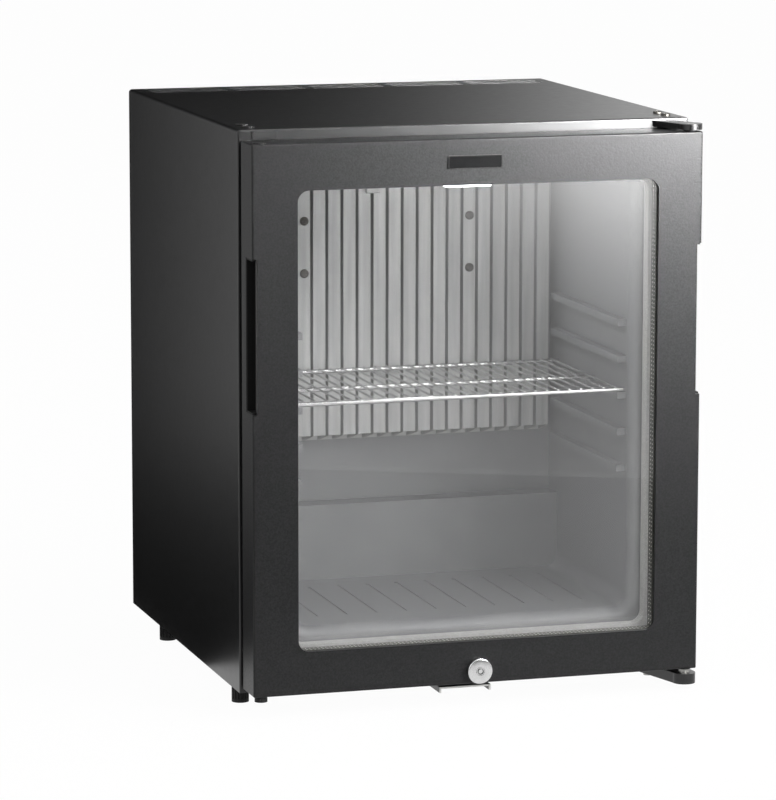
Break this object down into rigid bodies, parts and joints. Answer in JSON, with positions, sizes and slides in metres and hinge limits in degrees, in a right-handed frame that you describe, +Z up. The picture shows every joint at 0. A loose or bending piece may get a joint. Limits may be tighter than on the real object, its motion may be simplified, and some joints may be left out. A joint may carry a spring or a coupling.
{
  "type": "minibar fridge",
  "caption": "Small black minibar fridge with a hinged double-glazed door, key lock, wire shelf, finned evaporator, levelling feet and an absorption cooling unit in its open back.",
  "frame": {"origin": "middle of the footprint, on the floor under the feet", "axes": "+Z up, +X to the right seen from the front, the door faces -Y"},
  "size_m": [0.402, 0.431, 0.498],
  "materials": {
    "shell_black": "satin black coat",
    "unit_black": "matt black coat",
    "door_black": "fine-grained black",
    "liner_grey": "satin grey",
    "foam": "rigid foam or wool",
    "fin_aluminium": "pale anodised",
    "plain_steel": "zinc plated",
    "bright_plate": "polished plate",
    "lamp_white": "white",
    "pane": "clear",
    "seal_rubber": "soft matt",
    "frame_grey": "light grey",
    "dark_plastic": "matt black"
  },
  "bodies": {
    "cabinet": {"outer_shell": "shell_black", "base_plate": "shell_black", "top_hinge": "shell_black", "bottom_hinge": "shell_black", "lock_keeper": "shell_black", "rear_bulkhead": "shell_black", "control_box": "shell_black", "control_box_cover": "shell_black", "absorber_vessel": "unit_black", "boiler_tube": "unit_black", "liquid_pipe": "unit_black", "condenser_pipe": "unit_black", "absorber_coil": "unit_black", "inner_liner": "liner_grey", "mouth_frame": "liner_grey", "insulation_foam": "foam", "evaporator_plug": "foam", "boiler_jacket": "foam", "evaporator_fins": "fin_aluminium", "condenser_fins": "fin_aluminium", "fin_screws": "plain_steel", "evaporator_tube": "plain_steel", "top_hinge_pin": "plain_steel", "bottom_hinge_pin": "plain_steel", "top_hinge_screws": "plain_steel", "underside_screws": "plain_steel", "heater_cartridge": "plain_steel", "unit_brackets": "plain_steel", "unit_screws": "plain_steel", "lamp_housing": "lamp_white", "lamp_diffuser": "lamp_white", "sensor_clip": "lamp_white", "hinge_slot_cover": "dark_plastic", "top_screw_caps": "dark_plastic", "thermostat_body": "dark_plastic", "cord_gland": "dark_plastic"},
    "door": {"door_frame": "door_black", "door_inner_frame": "frame_grey", "door_foam": "foam", "outer_glass": "pane", "inner_glass": "pane", "glass_spacer": "fin_aluminium", "door_gasket": "seal_rubber", "gasket_magnets": "seal_rubber", "badge_plate": "bright_plate", "grip_insert_left": "dark_plastic", "grip_insert_right": "dark_plastic", "top_hinge_bush": "dark_plastic", "bottom_hinge_bush": "dark_plastic", "hinge_hole_plugs": "dark_plastic", "lock_barrel": "bright_plate", "lock_nut": "plain_steel"},
    "lock": {"lock_core": "bright_plate", "lock_cam": "plain_steel"},
    "shelf": {"wire_shelf": "bright_plate"},
    "knob": {"thermostat_knob": "dark_plastic"},
    "front_left_leg": {"foot_front_left": "dark_plastic"},
    "front_right_leg": {"foot_front_right": "dark_plastic"},
    "rear_left_leg": {"foot_rear_left": "dark_plastic"},
    "rear_right_leg": {"foot_rear_right": "dark_plastic"}
  },
  "joints": [
    {"name": "door_hinge", "type": "hinge", "parent": "cabinet", "child": "door", "pos_m": [0.191, -0.2015, 0.25], "axis": [0, 0, 1], "range_deg": [0, 120]},
    {"name": "lock_turn", "type": "hinge", "parent": "door", "child": "lock", "pos_m": [0, -0.2, 0.031], "axis": [0, -1, 0], "range_deg": [0, 90]},
    {"name": "shelf_slide", "type": "slide", "parent": "cabinet", "child": "shelf", "axis": [0, -1, 0], "range_m": [0, 0.025]},
    {"name": "thermostat_turn", "type": "hinge", "parent": "cabinet", "child": "knob", "pos_m": [0.045, 0.15, 0.238], "axis": [0, 1, 0], "range_deg": [0, 270]},
    {"name": "front_left_leg_screw", "type": "hinge", "parent": "cabinet", "child": "front_left_leg", "pos_m": [-0.1915, -0.1355, 0.01], "axis": [0, 0, 1], "continuous": true},
    {"name": "front_right_leg_screw", "type": "hinge", "parent": "cabinet", "child": "front_right_leg", "pos_m": [0.1915, -0.1355, 0.01], "axis": [0, 0, 1], "continuous": true},
    {"name": "rear_left_leg_screw", "type": "hinge", "parent": "cabinet", "child": "rear_left_leg", "pos_m": [-0.1915, 0.1205, 0.01], "axis": [0, 0, 1], "continuous": true},
    {"name": "rear_right_leg_screw", "type": "hinge", "parent": "cabinet", "child": "rear_right_leg", "pos_m": [0.1915, 0.1205, 0.01], "axis": [0, 0, 1], "continuous": true}
  ]
}
